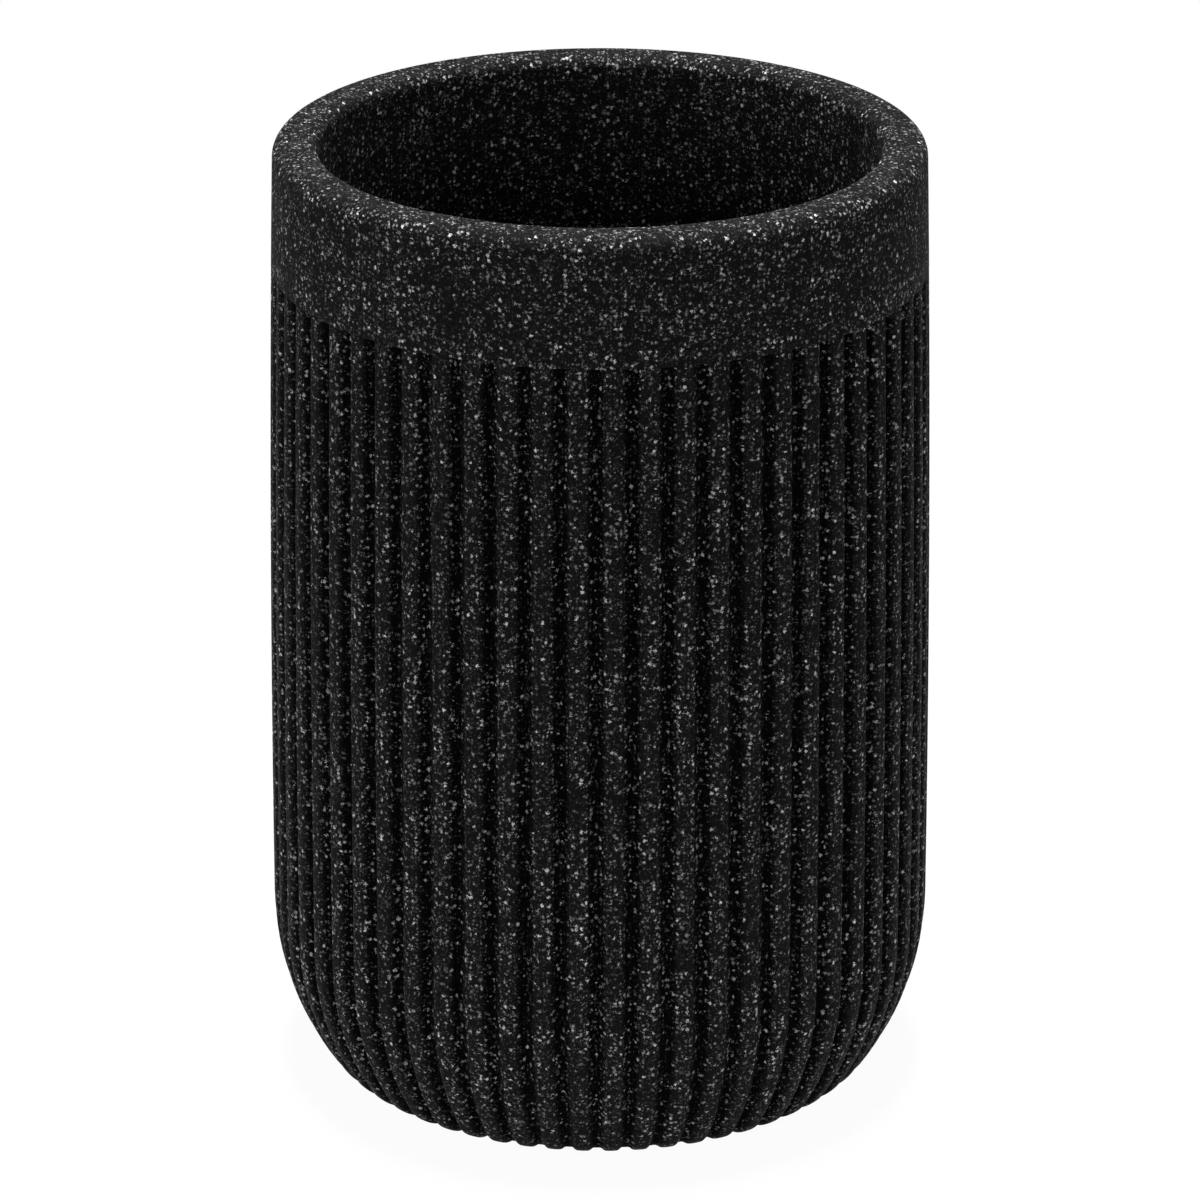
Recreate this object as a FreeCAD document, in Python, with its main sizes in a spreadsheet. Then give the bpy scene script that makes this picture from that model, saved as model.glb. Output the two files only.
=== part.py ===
import FreeCAD, Part
import math
import os

import Sketcher

# Bathroom tumbler cast in filled resin: a thick open cup with a plain band under
# the rim and bevelled reeds that run down the wall and wrap round the base.
# A foam pad sits in a shallow recess underneath, on a film of adhesive.
# Frame: Z is the axis of the cup, and Z = 0 is the surface that it stands on.

doc = FreeCAD.newDocument("tumbler")
sheet = doc.addObject("Spreadsheet::Sheet", "sizes")

# Driving sizes in millimetres, and one count.
SIZES = {
    # Outside of the cup, from the widest point of the wall.
    "overall_height": 109.4,
    "body_radius": 37.5,
    "reeded_lean": 1.3,
    "band_lean": 0.45,
    "band_height": 14.1,
    "base_round_width": 9.6,
    "base_round_height": 19.5,
    "toe_radius": 5.1,
    "foot_margin": 0.15,
    "foot_land": 4.5,
    # Rim and inside of the cup.
    "rim_wall": 5.1,
    "lip_outer_round": 1.7,
    "lip_inner_round": 1.4,
    "floor_thickness": 7.0,
    "floor_bevel": 5.0,
    # Reeds: flat crest, sloping sides down to a root that lies inside the cup.
    "reed_count": 60,
    "reed_crest_width": 1.6,
    "reed_root_width": 4.4,
    "reed_root_depth": 1.3,
    "reed_inset": 0.1,
    "core_depth": 1.15,
    "band_overlap": 1.0,
    "foot_overlap": 0.6,
    # Pad under the base.
    "pad_thickness": 1.6,
    "film_thickness": 0.15,
    "pad_clearance": 0.5,
    "stand_off": 0.5,
}
for row, (alias, value) in enumerate(SIZES.items(), start=1):
    sheet.set(f"A{row}", alias)
    sheet.set(f"B{row}", str(value))
    sheet.setAlias(f"B{row}", alias)
doc.recompute()

# Places that follow from the sizes, as expressions on the sheet.
WALL_FOOT_Z = "sizes.stand_off + sizes.base_round_height"
BAND_FOOT_Z = "sizes.overall_height - sizes.band_height"
BAND_FOOT_RADIUS = "sizes.body_radius - sizes.reeded_lean"
RIM_RADIUS = BAND_FOOT_RADIUS + " - sizes.band_lean"
MOUTH_RADIUS = RIM_RADIUS + " - sizes.rim_wall"
CAVITY_FLOOR_Z = "sizes.stand_off + sizes.floor_thickness"
TOE_CENTRE_RADIUS = "sizes.body_radius - sizes.base_round_width"
TOE_CENTRE_Z = "sizes.stand_off + sizes.toe_radius"
FOOT_RADIUS = TOE_CENTRE_RADIUS + " + sizes.foot_margin"
RECESS_RADIUS = FOOT_RADIUS + " - sizes.foot_land"
RECESS_Z = "sizes.pad_thickness + sizes.film_thickness"
PAD_RADIUS = RECESS_RADIUS + " - sizes.pad_clearance"
CREST_RADIUS = "sizes.body_radius - sizes.reed_inset"
CREST_TOP_RADIUS = BAND_FOOT_RADIUS + " - sizes.reed_inset"
CREST_TOE_RADIUS = "sizes.toe_radius - sizes.reed_inset"
CORE_RADIUS = CREST_RADIUS + " - sizes.core_depth"
CORE_TOP_RADIUS = CREST_TOP_RADIUS + " - sizes.core_depth"
CORE_TOE_RADIUS = CREST_TOE_RADIUS + " - sizes.core_depth"
REED_TOP_Z = BAND_FOOT_Z + " + sizes.band_overlap"
REED_END_RADIUS = FOOT_RADIUS + " - sizes.foot_overlap"
REED_LEAN = f"-atan(sizes.reeded_lean / ({REED_TOP_Z} - ({WALL_FOOT_Z})))"

ORIGIN = (-1, 1)
X_AXIS, Y_AXIS = -1, -2
START, END, CENTRE = 1, 2, 3


def worked_out(expression):
    """The number that an expression on the sheet comes to."""
    return sheet.evalExpression(expression)


def line(start, end):
    return Part.LineSegment(FreeCAD.Vector(*start, 0), FreeCAD.Vector(*end, 0))


def arc(centre, first, last):
    """An arc about centre, anticlockwise from the point first to the point last."""
    radius = math.dist(centre, first)
    circle = Part.Circle(FreeCAD.Vector(*centre, 0), FreeCAD.Vector(0, 0, 1), radius)
    angles = [math.atan2(y - centre[1], x - centre[0]) for x, y in (first, last)]
    return Part.ArcOfCircle(circle, *angles)


def swept_side(wall_foot, toe_centre, toe_radius):
    """Centre of the arc that leaves the wall upright and runs into the toe arc,
    and the point where the two arcs meet."""
    across = wall_foot[0] - toe_centre[0]
    down = wall_foot[1] - toe_centre[1]
    radius = (across**2 + down**2 - toe_radius**2) / (2 * (across - toe_radius))
    centre = FreeCAD.Vector(wall_foot[0] - radius, wall_foot[1], 0)
    toward = FreeCAD.Vector(*toe_centre, 0).sub(centre).normalize()
    meet = centre + toward * radius
    return (centre.x, centre.y), (meet.x, meet.y)


def toe_end(toe_centre, toe_radius, end_radius):
    """The point low on the toe arc that lies at end_radius from the axis."""
    reach = end_radius - toe_centre[0]
    return end_radius, toe_centre[1] - math.sqrt(toe_radius**2 - reach**2)


def new_sketch(body, name, role):
    sketch = body.newObject("Sketcher::SketchObject", name)
    plane = next(f for f in body.Origin.OriginFeatures if f.Role == role)
    sketch.AttachmentSupport = [(plane, "")]
    sketch.MapMode = "FlatFace"
    return sketch


def join(sketch, *pairs):
    """Joins two curves end to end."""
    for first, second in pairs:
        sketch.addConstraint(Sketcher.Constraint("Coincident", *first, *second))


def flow(sketch, *pairs):
    """Joins two curves end to end with a common tangent."""
    for first, second in pairs:
        sketch.addConstraint(Sketcher.Constraint("Tangent", *first, *second))


def level(sketch, *curves):
    for curve in curves:
        sketch.addConstraint(Sketcher.Constraint("Horizontal", curve))


def upright(sketch, *curves):
    for curve in curves:
        sketch.addConstraint(Sketcher.Constraint("Vertical", curve))


def hold(sketch, name, expression, kind, *places):
    """Adds a named dimension to the sketch and binds it to the sheet."""
    value = worked_out(expression)
    index = sketch.addConstraint(Sketcher.Constraint(kind, *places, value))
    sketch.renameConstraint(index, name)
    sketch.setExpression("Constraints." + name, expression)


def hold_point(sketch, name, place, across=None, along=None):
    """Holds a point at a distance across and along from the sketch's origin."""
    if across:
        hold(sketch, name + "_across", across, "DistanceX", *ORIGIN, *place)
    if along:
        hold(sketch, name + "_along", along, "DistanceY", *ORIGIN, *place)


# Cup body: the section is turned about Z. Under the band its outside is the core
# that the reeds stand on, which lies just below the valleys between them.
cup = doc.addObject("PartDesign::Body", "cup_body")
section = new_sketch(cup, "cup_section", "XZ_Plane")

foot_z = worked_out("sizes.stand_off")
foot_radius = worked_out(FOOT_RADIUS)
recess = (worked_out(RECESS_RADIUS), worked_out(RECESS_Z))
toe_centre = (worked_out(TOE_CENTRE_RADIUS), worked_out(TOE_CENTRE_Z))
core_toe_radius = worked_out(CORE_TOE_RADIUS)
core_foot = (worked_out(CORE_RADIUS), worked_out(WALL_FOOT_Z))
core_top = (worked_out(CORE_TOP_RADIUS), worked_out(BAND_FOOT_Z))
band_foot = (worked_out(BAND_FOOT_RADIUS), core_top[1])
rim_radius = worked_out(RIM_RADIUS)
rim_z = worked_out("sizes.overall_height")
outer_round = worked_out("sizes.lip_outer_round")
inner_round = worked_out("sizes.lip_inner_round")
mouth_radius = worked_out(MOUTH_RADIUS)
floor_z = worked_out(CAVITY_FLOOR_Z)
floor_bevel = worked_out("sizes.floor_bevel")

foot_top = toe_end(toe_centre, core_toe_radius, foot_radius)
side_centre, side_meet = swept_side(core_foot, toe_centre, core_toe_radius)
band_end = (rim_radius, rim_z - outer_round)
rim_outer = (rim_radius - outer_round, rim_z)
rim_inner = (mouth_radius + inner_round, rim_z)
cavity_top = (mouth_radius, rim_z - inner_round)
cavity_end = (mouth_radius, floor_z + floor_bevel)
floor_edge = (mouth_radius - floor_bevel, floor_z)

(
    recess_face,
    recess_side,
    foot_face,
    foot_side,
    toe,
    side,
    core_wall,
    band_underside,
    band,
    outer_lip,
    rim_face,
    inner_lip,
    cavity_wall,
    cavity_bevel,
    cavity_floor,
    axis,
) = section.addGeometry(
    [
        line((0, recess[1]), recess),
        line(recess, (recess[0], foot_z)),
        line((recess[0], foot_z), (foot_radius, foot_z)),
        line((foot_radius, foot_z), foot_top),
        arc(toe_centre, foot_top, side_meet),
        arc(side_centre, side_meet, core_foot),
        line(core_foot, core_top),
        line(core_top, band_foot),
        line(band_foot, band_end),
        arc((rim_outer[0], band_end[1]), band_end, rim_outer),
        line(rim_outer, rim_inner),
        arc((rim_inner[0], cavity_top[1]), rim_inner, cavity_top),
        line(cavity_top, cavity_end),
        line(cavity_end, floor_edge),
        line(floor_edge, (0, floor_z)),
        line((0, floor_z), (0, recess[1])),
    ]
)
join(
    section,
    ((recess_face, END), (recess_side, START)),
    ((recess_side, END), (foot_face, START)),
    ((foot_face, END), (foot_side, START)),
    ((foot_side, END), (toe, START)),
    ((core_wall, END), (band_underside, START)),
    ((band_underside, END), (band, START)),
    ((cavity_wall, END), (cavity_bevel, START)),
    ((cavity_bevel, END), (cavity_floor, START)),
    ((cavity_floor, END), (axis, START)),
    ((axis, END), (recess_face, START)),
)
flow(
    section,
    ((toe, END), (side, START)),
    ((side, END), (core_wall, START)),
    ((band, END), (outer_lip, START)),
    ((outer_lip, END), (rim_face, START)),
    ((rim_face, END), (inner_lip, START)),
    ((inner_lip, END), (cavity_wall, START)),
)
level(section, recess_face, foot_face, band_underside, rim_face, cavity_floor)
upright(section, recess_side, foot_side, cavity_wall)
section.addConstraint(Sketcher.Constraint("PointOnObject", axis, START, Y_AXIS))
section.addConstraint(Sketcher.Constraint("PointOnObject", axis, END, Y_AXIS))
hold_point(section, "recess", (recess_side, START), RECESS_RADIUS, RECESS_Z)
hold_point(section, "foot", (foot_face, END), FOOT_RADIUS, "sizes.stand_off")
hold_point(section, "toe_centre", (toe, CENTRE), TOE_CENTRE_RADIUS, TOE_CENTRE_Z)
hold(section, "toe_round", CORE_TOE_RADIUS, "Radius", toe)
hold_point(section, "core_foot", (core_wall, START), CORE_RADIUS, WALL_FOOT_Z)
hold_point(section, "core_top", (core_wall, END), CORE_TOP_RADIUS, BAND_FOOT_Z)
hold_point(section, "band_foot", (band, START), across=BAND_FOOT_RADIUS)
hold_point(section, "band_end", (band, END), across=RIM_RADIUS)
hold_point(section, "rim", (rim_face, START), along="sizes.overall_height")
hold(section, "outer_round", "sizes.lip_outer_round", "Radius", outer_lip)
hold(section, "inner_round", "sizes.lip_inner_round", "Radius", inner_lip)
hold_point(section, "mouth", (cavity_wall, START), across=MOUTH_RADIUS)
hold(section, "bevel_across", "sizes.floor_bevel", "DistanceX", cavity_bevel, END, cavity_bevel, START)
hold(section, "bevel_along", "sizes.floor_bevel", "DistanceY", cavity_bevel, END, cavity_bevel, START)
hold_point(section, "floor", (axis, START), along=CAVITY_FLOOR_Z)

shell = cup.newObject("PartDesign::Revolution", "shell")
shell.Profile = section
shell.ReferenceAxis = (section, ["V_Axis"])
doc.recompute()

# One reed: a bar whose crest follows the wall, the side arc and the toe arc. It
# starts inside the band and ends inside the foot, and its sloping sides meet those
# of the next reeds, so that the valleys grow shallower as the base draws in.
crest = new_sketch(cup, "reed_crest", "XZ_Plane")
crest_foot = (worked_out(CREST_RADIUS), core_foot[1])
crest_top = (worked_out(CREST_TOP_RADIUS), worked_out(REED_TOP_Z))
crest_toe_radius = worked_out(CREST_TOE_RADIUS)
crest_end = toe_end(toe_centre, crest_toe_radius, worked_out(REED_END_RADIUS))
crest_centre, crest_meet = swept_side(crest_foot, toe_centre, crest_toe_radius)
wall_crest, side_crest, toe_crest = crest.addGeometry(
    [
        line(crest_top, crest_foot),
        arc(crest_centre, crest_meet, crest_foot),
        arc(toe_centre, crest_end, crest_meet),
    ]
)
flow(
    crest,
    ((wall_crest, END), (side_crest, END)),
    ((side_crest, START), (toe_crest, END)),
)
hold_point(crest, "top", (wall_crest, START), CREST_TOP_RADIUS, REED_TOP_Z)
hold_point(crest, "foot", (wall_crest, END), CREST_RADIUS, WALL_FOOT_Z)
hold_point(crest, "toe_centre", (toe_crest, CENTRE), TOE_CENTRE_RADIUS, TOE_CENTRE_Z)
hold(crest, "toe_round", CREST_TOE_RADIUS, "Radius", toe_crest)
hold_point(crest, "end", (toe_crest, START), across=REED_END_RADIUS)

# The profile stands square to the leaning crest, with its origin on the crest.
profile = new_sketch(cup, "reed_profile", "XY_Plane")
profile.AttachmentOffset = FreeCAD.Placement(
    FreeCAD.Vector(0, 0, 0), FreeCAD.Rotation(FreeCAD.Vector(0, 1, 0), 1)
)
profile.setExpression("AttachmentOffset.Base.x", CREST_TOP_RADIUS)
profile.setExpression("AttachmentOffset.Base.z", REED_TOP_Z)
profile.setExpression("AttachmentOffset.Rotation.Angle", REED_LEAN)
root_depth = worked_out("sizes.reed_root_depth")
half_root = worked_out("sizes.reed_root_width / 2")
half_crest = worked_out("sizes.reed_crest_width / 2")
left_side, crest_face, right_side, root_face = profile.addGeometry(
    [
        line((-root_depth, -half_root), (0, -half_crest)),
        line((0, -half_crest), (0, half_crest)),
        line((0, half_crest), (-root_depth, half_root)),
        line((-root_depth, half_root), (-root_depth, -half_root)),
    ]
)
join(
    profile,
    ((left_side, END), (crest_face, START)),
    ((crest_face, END), (right_side, START)),
    ((right_side, END), (root_face, START)),
    ((root_face, END), (left_side, START)),
)
for face in (crest_face, root_face):
    ends = (face, START, face, END, X_AXIS)
    profile.addConstraint(Sketcher.Constraint("Symmetric", *ends))
profile.addConstraint(Sketcher.Constraint("PointOnObject", crest_face, END, Y_AXIS))
hold(profile, "crest", "sizes.reed_crest_width", "DistanceY", crest_face, START, crest_face, END)
hold(profile, "root", "sizes.reed_root_width", "DistanceY", root_face, END, root_face, START)
hold(profile, "depth", "sizes.reed_root_depth", "DistanceX", root_face, START, *ORIGIN)
doc.recompute()

reed = cup.newObject("PartDesign::AdditivePipe", "reed")
reed.Profile = profile
reed.Spine = crest
doc.recompute()

reeds = cup.newObject("PartDesign::PolarPattern", "reeds")
reeds.Originals = [reed]
reeds.Axis = (section, ["V_Axis"])
reeds.Angle = 360
reeds.setExpression("Occurrences", "sizes.reed_count")
cup.Tip = reeds


# Pad and film: two discs of one outline, pressed up into the recess.
def new_disc(label, thickness, place_z):
    disc = doc.addObject("Part::Cylinder", label)
    disc.setExpression("Radius", PAD_RADIUS)
    disc.setExpression("Height", thickness)
    disc.setExpression("Placement.Base.z", place_z)
    return disc


pad = new_disc("base_pad", "sizes.pad_thickness", "0")
film = new_disc("pad_adhesive_film", "sizes.film_thickness", "sizes.pad_thickness")
doc.recompute()

for sketch in (section, crest, profile):
    if not sketch.FullyConstrained:
        raise RuntimeError(sketch.Label + " is not fully held")
for item in doc.Objects:
    if "Invalid" in item.State or "Error" in item.State:
        raise RuntimeError(item.Label + " failed: " + ", ".join(item.State))
pieces = (cup, pad, film)
for piece in pieces:
    shape = piece.Shape
    if shape.isNull() or not shape.isValid() or len(shape.Solids) != 1:
        raise RuntimeError(piece.Label + " is not one sound solid")

os.makedirs("parts", exist_ok=True)
for piece in pieces:
    piece.Shape.exportStep(os.path.join("parts", piece.Label + ".step"))
    print(piece.Label, round(piece.Shape.Volume), "mm3", len(piece.Shape.Faces), "faces")
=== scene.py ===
import math
from typing import NamedTuple

import bpy
from bpy.props import FloatProperty, FloatVectorProperty, IntProperty, PointerProperty
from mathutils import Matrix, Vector


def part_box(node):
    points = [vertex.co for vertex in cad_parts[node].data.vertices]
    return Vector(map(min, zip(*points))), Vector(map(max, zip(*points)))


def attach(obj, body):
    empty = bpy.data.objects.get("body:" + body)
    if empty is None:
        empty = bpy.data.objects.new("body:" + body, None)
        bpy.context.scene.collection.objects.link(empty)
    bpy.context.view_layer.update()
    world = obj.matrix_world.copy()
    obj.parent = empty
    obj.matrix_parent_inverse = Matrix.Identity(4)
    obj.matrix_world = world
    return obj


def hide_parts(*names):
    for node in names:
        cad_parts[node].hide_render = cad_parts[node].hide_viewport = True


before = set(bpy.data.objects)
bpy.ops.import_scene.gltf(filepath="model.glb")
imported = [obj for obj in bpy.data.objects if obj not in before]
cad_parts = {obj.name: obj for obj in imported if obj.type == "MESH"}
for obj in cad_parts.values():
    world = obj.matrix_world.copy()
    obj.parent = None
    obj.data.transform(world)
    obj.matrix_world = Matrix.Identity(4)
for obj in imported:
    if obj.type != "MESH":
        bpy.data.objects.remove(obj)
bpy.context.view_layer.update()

# Speckled resin tumbler: a thick cup with a plain band under its rim and flat-topped
# reeds that run down the wall and round the base, on a foam pad underneath.
# Lengths are in metres, Z is the axis of the cup, and Z = 0 is what it stands on.

bl_info = {
    "name": "Reeded Tumbler",
    "version": (1, 0, 0),
    "blender": (4, 5, 0),
    "location": "View3D > Sidebar > Tumbler",
    "description": "Dresses a reeded bathroom tumbler in speckled resin and lights it",
    "category": "Add Mesh",
}

CUP_LOW, CUP_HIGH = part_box("cup_body")
PAD_LOW, PAD_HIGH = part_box("base_pad")
FILM_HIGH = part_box("pad_adhesive_film")[1]
CREST_RADIUS = (CUP_HIGH.x - CUP_LOW.x) / 2
PAD_RADIUS = (PAD_HIGH.x - PAD_LOW.x) / 2
MILLIMETRE = 0.001
QUARTER_TURN = math.pi / 2

# Mesh attribute that carries the depth of the grooves to the resin, which paints shade into the
# grooves by it
GROOVE = "groove"

# Sockets of a Mix node that blends colours
FIRST_COLOUR, SECOND_COLOUR, MIXED_COLOUR = 6, 7, 2


def length(millimetres, name, description):
    """A length property whose default is written in millimetres."""
    return FloatProperty(
        name=name,
        description=description,
        default=millimetres * MILLIMETRE,
        precision=5,
        unit="LENGTH",
    )


def share(default, name, description):
    """A plain number from 0 to 1."""
    return FloatProperty(
        name=name, description=description, default=default, min=0.0, max=1.0, subtype="FACTOR"
    )


def power(default, name, description):
    """The power of a lamp in watts."""
    return FloatProperty(name=name, description=description, default=default, unit="POWER")


def colour(default, name, description):
    """A linear colour without alpha."""
    return FloatVectorProperty(
        name=name, description=description, default=default, min=0.0, max=1.0, subtype="COLOR"
    )


class TumblerShape(bpy.types.PropertyGroup):
    """Sizes of the cup and its pad that the frame's boxes don't give."""

    band_height: length(14.1, "Band height", "Plain band from the reed tops to the rim")
    wall_lean: length(1.72, "Wall lean", "How far the wall draws in from its foot to the rim")
    wall_swell: length(0.3, "Wall swell", "How far the wall swells out half way up")
    wall_foot: length(20.0, "Wall foot", "Height at which the wall starts to round into the base")
    toe_centre: length(27.93, "Toe centre", "Radius at which the toe of the base is centred")
    toe_radius: length(5.05, "Toe radius", "Radius of the toe where the reeds turn under")
    foot_radius: length(28.05, "Foot radius", "Radius of the flat foot that the reeds end in")
    edge_round: length(0.3, "Edge round", "Small round on the edges of the foot")
    rim_wall: length(5.05, "Rim wall", "Thickness of the wall at the rim")
    lip_outer_round: length(1.7, "Outer lip round", "Round on the outside of the rim")
    lip_inner_round: length(1.4, "Inner lip round", "Round on the inside of the rim")
    floor_thickness: length(7.0, "Floor thickness", "Resin between the foot and the inside floor")
    floor_round: length(7.0, "Floor round", "Round between the inside wall and the floor")
    pad_clearance: length(0.5, "Pad clearance", "Gap between the pad and the side of its recess")
    crest_width: length(1.5, "Crest width", "Flat crest along the top of a reed")
    shoulder_round: length(0.16, "Shoulder round", "Softening where a crest turns into its flanks")
    flank_slope: FloatProperty(
        name="Flank slope", description="Depth of a reed's flank over its width", default=1.0
    )
    valley_round: length(0.14, "Valley round", "Softening of the valley between two reeds")
    ceiling_round: length(0.22, "Ceiling round", "Softening where a groove ends under the band")
    foot_groove: length(0.1, "Groove at the foot", "Depth to which the grooves run out at the foot")
    toe_groove: length(0.8, "Groove at the toe", "Limit on the grooves where the toe ends")
    side_groove: length(2.3, "Groove on the side", "Limit on the grooves where the wall starts")
    pad_edge_round: length(0.35, "Pad edge round", "Round on the cut edge of the foam pad")
    reed_count: IntProperty(name="Reeds", description="Reeds round the cup", default=60, min=3)
    reed_steps: IntProperty(
        name="Steps per reed", description="Mesh columns across one reed", default=18, min=4
    )


class ResinFinish(bpy.types.PropertyGroup):
    """Colours and scale of the speckled resin, the foam and the film, and the shade painted deep in
    the resin's grooves.
    """

    resin_colour: colour((0.0046, 0.0046, 0.0049), "Resin", "Charcoal between the flecks")
    fleck_colour: colour((0.62, 0.63, 0.62), "Flecks", "Mineral chips in the resin")
    resin_roughness: share(0.7, "Resin roughness", "Dull sheen of the cast face")
    gloss: share(0.03, "Gloss", "Strength of the resin's reflection")
    fleck_roughness: share(0.45, "Fleck roughness", "Sheen of the cut chips")
    # Lip, depth and shade of the grooves set the painted shade: resin and chips are painted darker
    # deep in a groove, where shade falls; the groove roughness only dulls the sheen there
    groove_lip: length(0.12, "Groove lip", "Depth to which a groove is as light as the crests")
    groove_depth: length(0.45, "Groove depth", "Further depth at which a groove is darkest")
    painted_groove_shade: share(0.83, "Painted groove shade", "How much darker the resin is deep in a groove")
    groove_roughness: share(1.0, "Groove roughness", "Dull skin inside the grooves")
    foam_colour: colour((0.014, 0.014, 0.015), "Foam", "Dark foam of the base pad")
    film_colour: colour((0.48, 0.44, 0.36), "Film", "Adhesive film above the pad")


class StudioStage(bpy.types.PropertyGroup):
    """Camera and light that match the photograph's view."""

    camera_distance: length(610.3, "Camera distance", "From the middle of the cup")
    camera_elevation: FloatProperty(
        name="Camera elevation",
        description="Height of the camera above the horizon",
        default=math.radians(22.07),
        subtype="ANGLE",
    )
    camera_turn: FloatProperty(
        name="Camera turn",
        description="Turn of the camera from straight ahead, so that the reeds line up",
        default=math.radians(-2.36),
        subtype="ANGLE",
    )
    lens: FloatProperty(
        name="Lens", description="Focal length on a 36 mm sensor", default=162.5, unit="CAMERA"
    )
    front_power: power(2.4, "Front power", "Softbox in front, a little to the left")
    left_power: power(3.1, "Left power", "Softbox on the left")
    right_power: power(1.3, "Right power", "Weaker softbox on the right")
    top_power: power(35.0, "Top power", "Softbox overhead")
    ambient: share(0.02, "Ambient", "Even light from all round")
    floor_colour: colour((0.95, 0.95, 0.95), "Floor", "Pale floor as it is seen")
    floor_bounce: colour((0.6, 0.6, 0.6), "Floor bounce", "Floor as it lights the cup")
    mirrored_floor: share(1.0, "Mirrored floor", "How white the floor is in a reflection")
    mirrored_walls: share(0.3, "Mirrored walls", "How white the backdrop is in a reflection")
    floor_glow: share(0.96, "Floor glow", "Share of the floor that shows as plain white")


# Node helpers


def add_node(tree, kind, **settings):
    """A new node with its settings made."""
    node = tree.nodes.new(kind)
    for name, value in settings.items():
        setattr(node, name, value)
    return node


def feed(tree, socket, value):
    """Links a socket to an input, or sets it to a plain value."""
    if isinstance(value, bpy.types.NodeSocket):
        tree.links.new(value, socket)
    else:
        socket.default_value = value


def work_out(tree, operation, *values, clamp=False):
    """A Math node on sockets or plain numbers; returns its output."""
    node = add_node(tree, "ShaderNodeMath", operation=operation, use_clamp=clamp)
    for socket, value in zip(node.inputs, values):
        feed(tree, socket, value)
    return node.outputs[0]


def new_group(name, kind, inputs, outputs):
    """An empty node group with named sockets; returns it with its two end nodes."""
    tree = bpy.data.node_groups.new(name, kind)
    for label, socket_type, default in inputs:
        socket = tree.interface.new_socket(label, in_out="INPUT", socket_type=socket_type)
        if default is not None:
            socket.default_value = default
    for label, socket_type in outputs:
        tree.interface.new_socket(label, in_out="OUTPUT", socket_type=socket_type)
    return tree, add_node(tree, "NodeGroupInput"), add_node(tree, "NodeGroupOutput")


# Shader groups

# Uneven outline of a chip, and the range of its size
WOBBLE_SCALE, WOBBLE_DETAIL, WOBBLE_REACH = 3.2, 2.0, 1.3
NOISE_MIDDLE = 0.5
LEAST_SIZE, SIZE_SPREAD = 0.5, 0.7

# Fine grain and slow mottle of a cast face
GRAIN_DETAIL, GRAIN_ROUGHNESS, MOTTLE_DETAIL = 3.0, 0.6, 2.0


def fleck_group():
    """Chips scattered through a solid: a mask of them and one random tone for each."""
    tree, given, made = new_group(
        "Mineral flecks",
        "ShaderNodeTree",
        (
            ("Vector", "NodeSocketVector", None),
            ("Spacing", "NodeSocketFloat", 0.001),
            ("Radius Share", "NodeSocketFloat", 0.3),
            ("Presence", "NodeSocketFloat", 0.5),
            ("Edge", "NodeSocketFloat", 0.14),
            ("Seed", "NodeSocketFloat", 0.0),
        ),
        (("Mask", "NodeSocketFloat"), ("Tone", "NodeSocketFloat")),
    )
    per_metre = work_out(tree, "DIVIDE", 1.0, given.outputs["Spacing"])
    scaled = add_node(tree, "ShaderNodeVectorMath", operation="SCALE")
    feed(tree, scaled.inputs[0], given.outputs["Vector"])
    feed(tree, scaled.inputs["Scale"], per_metre)
    moved = add_node(tree, "ShaderNodeVectorMath", operation="ADD")
    feed(tree, moved.inputs[0], scaled.outputs[0])
    feed(tree, moved.inputs[1], given.outputs["Seed"])
    wobble = add_node(tree, "ShaderNodeTexNoise")
    feed(tree, wobble.inputs["Vector"], moved.outputs[0])
    feed(tree, wobble.inputs["Scale"], WOBBLE_SCALE)
    feed(tree, wobble.inputs["Detail"], WOBBLE_DETAIL)
    centred = add_node(tree, "ShaderNodeVectorMath", operation="SUBTRACT")
    feed(tree, centred.inputs[0], wobble.outputs["Color"])
    feed(tree, centred.inputs[1], (NOISE_MIDDLE, NOISE_MIDDLE, NOISE_MIDDLE))
    bent = add_node(tree, "ShaderNodeVectorMath", operation="MULTIPLY_ADD")
    feed(tree, bent.inputs[0], centred.outputs[0])
    feed(tree, bent.inputs[1], (WOBBLE_REACH, WOBBLE_REACH, WOBBLE_REACH))
    feed(tree, bent.inputs[2], moved.outputs[0])
    cells = add_node(tree, "ShaderNodeTexVoronoi", feature="F1", distance="MANHATTAN")
    feed(tree, cells.inputs["Vector"], bent.outputs[0])
    feed(tree, cells.inputs["Scale"], 1.0)
    draws = add_node(tree, "ShaderNodeSeparateColor")
    feed(tree, draws.inputs[0], cells.outputs["Color"])
    present = work_out(tree, "LESS_THAN", draws.outputs[0], given.outputs["Presence"])
    size = work_out(tree, "MULTIPLY_ADD", draws.outputs[1], SIZE_SPREAD, LEAST_SIZE)
    radius = work_out(tree, "MULTIPLY", size, given.outputs["Radius Share"])
    reach = work_out(tree, "DIVIDE", cells.outputs["Distance"], radius)
    inside = work_out(tree, "SUBTRACT", 1.0, reach)
    body = work_out(tree, "DIVIDE", inside, given.outputs["Edge"], clamp=True)
    feed(tree, made.inputs["Mask"], work_out(tree, "MULTIPLY", body, present))
    feed(tree, made.inputs["Tone"], draws.outputs[2])
    return tree


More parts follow.
